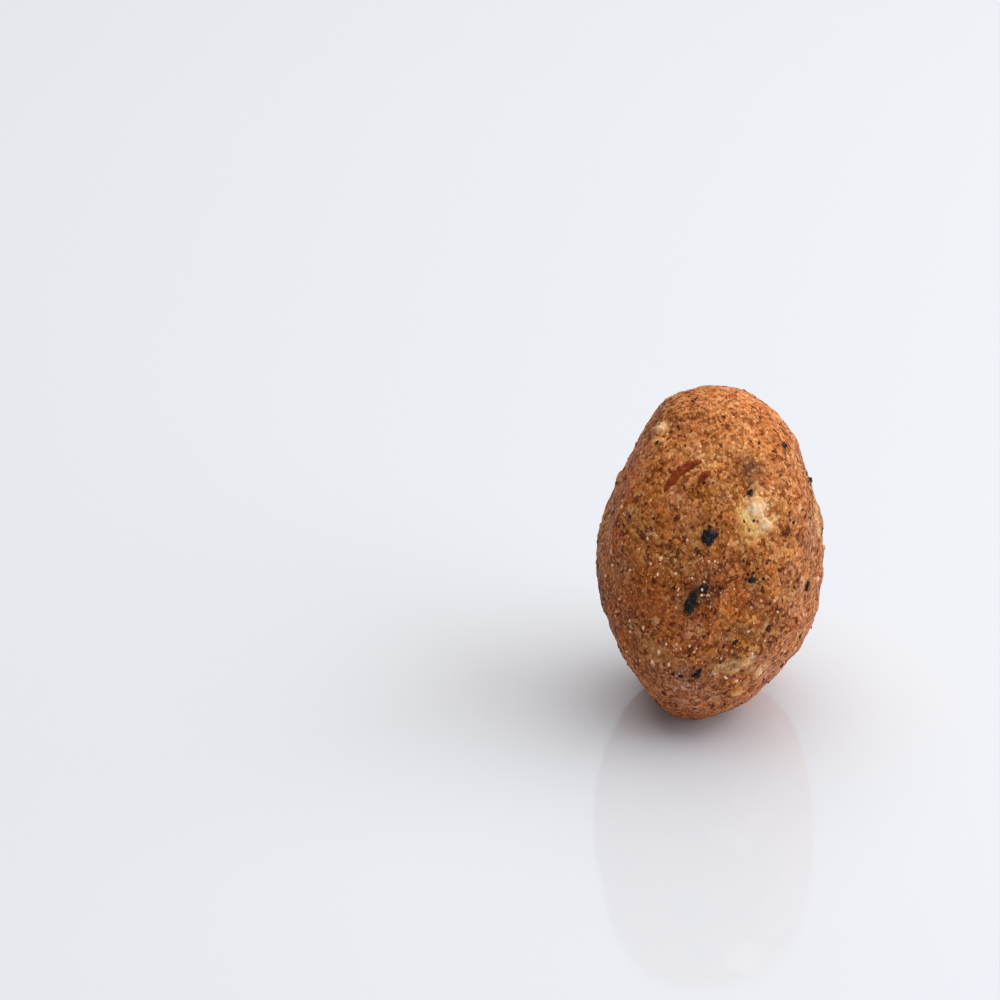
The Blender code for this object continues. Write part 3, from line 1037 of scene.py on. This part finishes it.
# Grains: each kind is scattered over the ball by the same node tree with its own sizes in mm.
grains = {
    "doughCrumbs": {
        "material": "crumbs", "slot": "dough", "round": False,
        "values": {
            "Spacing": 0.30, "Per square mm": 3.9, "Smallest": 0.24, "Largest": 0.66, "Skew": 2.4,
            "Flatness": 0.60, "Stretch": 1.30, "Spin": 1.0, "Sunk": 0.16, "Unevenness": 0.20, "Seed": 3,
        },
    },
    "semolinaGrains": {
        "material": "semolina", "slot": "dough", "round": False,
        "values": {
            "Spacing": 0.28, "Per square mm": 2.5, "Smallest": 0.16, "Largest": 0.46, "Skew": 2.0,
            "Flatness": 0.7, "Stretch": 1.45, "Spin": 0.6, "Sunk": 0.07, "Unevenness": 0.14, "Seed": 8,
        },
    },
    "branFlecks": {
        "material": "bran", "slot": "seed", "round": True,
        "values": {
            "Spacing": 0.40, "Per square mm": 0.30, "Smallest": 0.22, "Largest": 0.85, "Skew": 2.6,
            "Flatness": 0.30, "Stretch": 1.5, "Spin": 0.8, "Sunk": 0.05, "Unevenness": 0.40, "Seed": 15,
        },
    },
    "sugarGrains": {
        "material": "sugar", "slot": "sugar", "round": False,
        "values": {
            "Spacing": 0.4, "Per square mm": 0.15, "Smallest": 0.15, "Largest": 0.46, "Skew": 2.4,
            "Flatness": 0.8, "Stretch": 1.45, "Spin": 0.6, "Sunk": 0.06, "Unevenness": 0.24, "Seed": 21,
        },
    },
}
# the least and most width and length of a grain as shares of its size, how much more than its
# flatness it may be thick, and how far it tips, in radians
grainForm = {"least": (0.75, 0.8), "most": (1.1, 1.15), "thicker": 0.2, "tip": 0.5}


def drawn(tree, given, low, high, offset, kind):
    # a random value for each grain, from the tree's seed moved on by this offset
    seed = plus(tree, given.outputs["Seed"], offset)
    inputs = {"Min": low, "Max": high, "Seed": seed}
    return firstOutput(addNode(tree, "FunctionNodeRandomValue", inputs, data_type=kind))


def grainScale(tree, given):
    # many small grains and a few large ones, each of its own proportions
    flatness = given.outputs["Flatness"]
    skewed = calculate(tree, "POWER", drawn(tree, given, 0.0, 1.0, 0.0, "FLOAT"), given.outputs["Skew"])
    size = spread(tree, skewed, 0.0, 1.0, given.outputs["Smallest"], given.outputs["Largest"])
    lowest = vectorOf(tree, *grainForm["least"], flatness)
    highest = vectorOf(tree, *grainForm["most"], plus(tree, flatness, grainForm["thicker"]))
    shape = drawn(tree, given, lowest, highest, 1.0, "FLOAT_VECTOR")
    stretch = vectorOf(tree, 1.0, given.outputs["Stretch"], 1.0)
    shape = calculateVector(tree, "MULTIPLY", shape, stretch)
    return scaled(tree, shape, times(tree, size, mm / 2))


def grainTurn(tree, given, normal):
    # a grain lies on the surface with its length roughly upright
    align = "FunctionNodeAlignRotationToVector"
    outward = addNode(tree, align, {"Vector": normal}, axis="Z").outputs[0]
    inputs = {"Rotation": outward, "Vector": (0.0, 0.0, 1.0)}
    upright = addNode(tree, align, inputs, axis="Y", pivot_axis="Z").outputs[0]
    most = vectorOf(tree, grainForm["tip"], grainForm["tip"], given.outputs["Spin"])
    turns = drawn(tree, given, scaled(tree, most, -1.0), most, 2.0, "FLOAT_VECTOR")
    turned = addNode(tree, "FunctionNodeEulerToRotation", {"Euler": turns}).outputs[0]
    inputs = {"Rotation": upright, "Rotate By": turned}
    return addNode(tree, "FunctionNodeRotateRotation", inputs, rotation_space="LOCAL").outputs[0]


def scatterTree(name, kind):
    # points spread over the ball, each with a small uneven solid, sunk a little into it
    tree, given, end = newGeometryTree(name, kind["values"])
    inputs = {
        "Mesh": given.outputs["Geometry"],
        "Distance Min": times(tree, given.outputs["Spacing"], mm),
        "Density Max": times(tree, given.outputs["Per square mm"], 1e6),
        "Density Factor": meshValue(tree, "cover"),
        "Seed": given.outputs["Seed"],
    }
    points = addNode(tree, "GeometryNodeDistributePointsOnFaces", inputs, distribute_method="POISSON")
    normal = points.outputs["Normal"]
    down = scaled(tree, normal, times(tree, given.outputs["Sunk"], -mm))
    inputs = {"Geometry": points.outputs["Points"], "Offset": down}
    sunk = addNode(tree, "GeometryNodeSetPosition", inputs)
    if kind["round"]:
        solid = addNode(tree, "GeometryNodeMeshIcoSphere", {"Radius": 1.0, "Subdivisions": 1})
    else:
        solid = addNode(tree, "GeometryNodeMeshUVSphere", {"Segments": 4, "Rings": 2, "Radius": 1.0})
    inputs = {
        "Points": sunk.outputs[0],
        "Instance": solid.outputs[0],
        "Rotation": grainTurn(tree, given, normal),
        "Scale": grainScale(tree, given),
    }
    instances = addNode(tree, "GeometryNodeInstanceOnPoints", inputs)
    tint = drawn(tree, given, 0.0, 1.0, 3.0, "FLOAT")
    inputs = {"Geometry": instances.outputs[0], "Name": "tint", "Value": tint}
    settings = {"data_type": "FLOAT", "domain": "INSTANCE"}
    tinted = addNode(tree, "GeometryNodeStoreNamedAttribute", inputs, **settings)
    real = addNode(tree, "GeometryNodeRealizeInstances", {"Geometry": tinted.outputs[0]})
    uneven = times(tree, given.outputs["Unevenness"], mm / 4)
    shift = scaled(tree, drawn(tree, given, (-1, -1, -1), (1, 1, 1), 4.0, "FLOAT_VECTOR"), uneven)
    moved = addNode(tree, "GeometryNodeSetPosition", {"Geometry": real.outputs[0], "Offset": shift})
    endTree(tree, end, moved.outputs[0], materials[kind["material"]])
    return tree


ground = joinedCopy([doughBody, *larger, darkFlecks], "ground")
for name, kind in grains.items():
    print("stage:", name)
    piece = runTree(ground, scatterTree(name, kind), kind["values"], name)
    piece.data.shade_flat()
    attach(piece, "root")
bpy.data.objects.remove(ground)

# The floor, the light and the camera.
stage = {
    "floorReach": 4.0,
    "floor": (0.700, 0.712, 0.748),
    "floorRoughness": 0.06,
    "floorGloss": 0.80,
    "floorGlow": (0.82, 0.86, 1.0),
    "floorGlowStrength": 0.035,
    "world": (0.90, 0.93, 1.0),
    "worldStrength": 0.12,
    # the camera: its angle, its distance in pixels, and the size and place of the ball in the picture
    "elevation": 28.0,
    "focalPixels": 5000,
    "pixelsPerMm": 6.0,
    "imageSide": 1000,
    "ballPixel": (711.3, 558.6),
    "sensorWidth": 36,
    "clip": (0.05, 20),
}
# soft round panels that face the ball: the direction they lie in, distance and size in metres, power
# and colour
lights = {
    "overPanel": ((0.17, 0.17, 1.0), 1.1, 2.0, 19.4, (1.0, 0.98, 0.94)),
    "keyPanel": ((0.90, -0.14, 0.40), 0.9, 1.3, 8.6, (0.84, 0.91, 1.0)),
    "backPanel": ((0.0, 1.3, 0.5), 1.3, 1.0, 1.2, (0.95, 0.97, 1.0)),
}


def addFloor():
    material, tree, shader = newMaterial("paleTable")
    setInputs(shader, {
        "Base Color": (*stage["floor"], 1),
        "Roughness": stage["floorRoughness"],
        "Specular IOR Level": stage["floorGloss"],
        "Emission Color": (*stage["floorGlow"], 1),
        "Emission Strength": stage["floorGlowStrength"],
    })
    mesh = bpy.data.meshes.new("floor")
    reach = stage["floorReach"]
    corners = [(x * reach, y * reach, 0) for x, y in ((-1, -1), (1, -1), (1, 1), (-1, 1))]
    mesh.from_pydata(corners, [], [(0, 1, 2, 3)])
    mesh.materials.append(material)
    addObject("floor", mesh)


def addWorld():
    world = bpy.data.worlds.new("paleRoom")
    world.use_nodes = True
    back = world.node_tree.nodes["Background"]
    setInputs(back, {"Color": (*stage["world"], 1), "Strength": stage["worldStrength"]})
    bpy.context.scene.world = world


def addLight(name, toward, distance, size, power, colour):
    light = bpy.data.lights.new(name, "AREA")
    light.shape = "DISK"
    light.size = size
    light.energy = power
    light.color = colour
    lamp = addObject(name, light)
    aim = (cadLow + cadHigh) / 2
    lamp.location = aim + Vector(toward).normalized() * distance
    lamp.rotation_euler = (aim - lamp.location).to_track_quat("-Z", "Y").to_euler()


def addCamera():
    # level view turned down by the photograph's angle, with the ball's centre at its pixel
    data = bpy.data.cameras.new("camera")
    camera = addObject("camera", data)
    side = stage["imageSide"]
    data.sensor_width = stage["sensorWidth"]
    data.lens = data.sensor_width * stage["focalPixels"] / side
    tilt = math.radians(stage["elevation"])
    ahead = Vector((0, math.cos(tilt), -math.sin(tilt)))
    right = Vector((1, 0, 0))
    upward = Vector((0, math.sin(tilt), math.cos(tilt)))
    column, row = stage["ballPixel"]
    perPixel = mm / stage["pixelsPerMm"]
    ballCentre = centre * mm
    camera.location = (
        ballCentre
        - ahead * stage["focalPixels"] * perPixel
        - right * (column - side / 2) * perPixel
        + upward * (row - side / 2) * perPixel
    )
    camera.rotation_euler = (math.pi / 2 - tilt, 0, 0)
    data.clip_start, data.clip_end = stage["clip"]
    bpy.context.scene.camera = camera


print("stage: floor, light and camera")
addFloor()
addWorld()
for name, values in lights.items():
    addLight(name, *values)
addCamera()
bpy.context.scene.view_settings.view_transform = "Standard"
